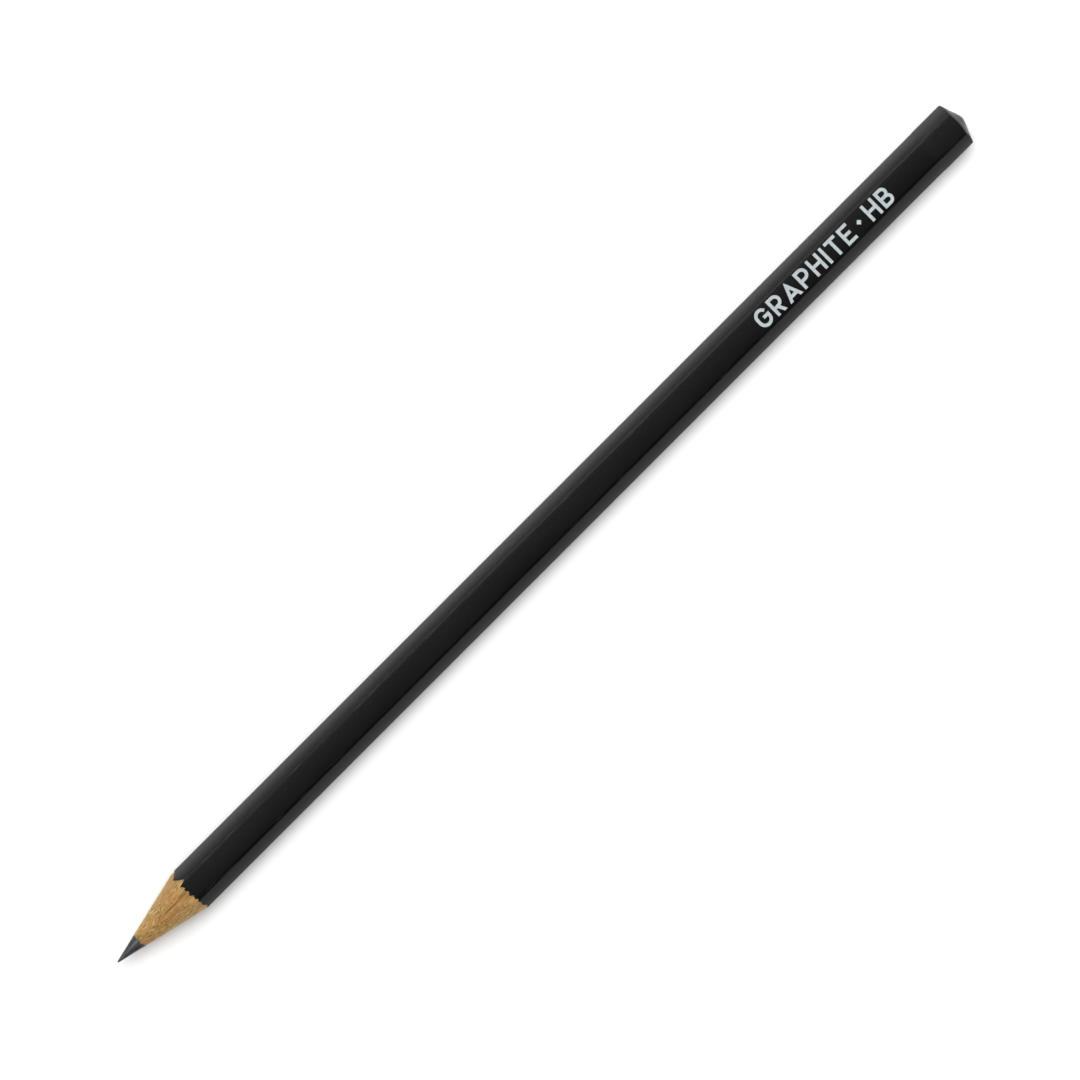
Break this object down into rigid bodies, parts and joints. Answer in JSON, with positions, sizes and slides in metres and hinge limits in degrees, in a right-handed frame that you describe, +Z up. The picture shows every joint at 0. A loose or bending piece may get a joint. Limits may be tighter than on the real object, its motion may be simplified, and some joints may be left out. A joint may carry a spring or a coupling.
{
  "type": "graphite pencil",
  "caption": "Hexagonal wood-cased graphite pencil for writing and drawing, black lacquered, sharpened to a long point at one end and dipped to a low dome at the other.",
  "frame": {"origin": "middle of the pencil's footprint on the table, under its middle", "axes": "+X along the pencil from the writing point to the dipped end, +Z up through the stamped flat, so +Y is the side the letters' tops point to"},
  "size_m": [0.175, 0.0074, 0.0066],
  "materials": {
    "graphite": "fired graphite and clay, dark grey with a soft metallic sheen",
    "glue": "dried white wood glue, thin and slightly yellow",
    "wood": "bare sharpened wood, warm tan, with fine fibres along the pencil",
    "sealer": "thin dark primer under the lacquer",
    "lacquer": "black satin lacquer with a soft sheen",
    "dip": "black lacquer of the end dip, satin",
    "foil": "hot-stamped silver foil, satin"
  },
  "bodies": {
    "root": {"graphite_core": "graphite", "core_glue": "glue", "upper_slat": "wood", "lower_slat": "wood", "left_glue_line": "glue", "right_glue_line": "glue", "sealer_coat": "sealer", "lacquer_coat": "lacquer", "end_dip": "dip", "imprint_foil": "foil"}
  },
  "joints": []
}
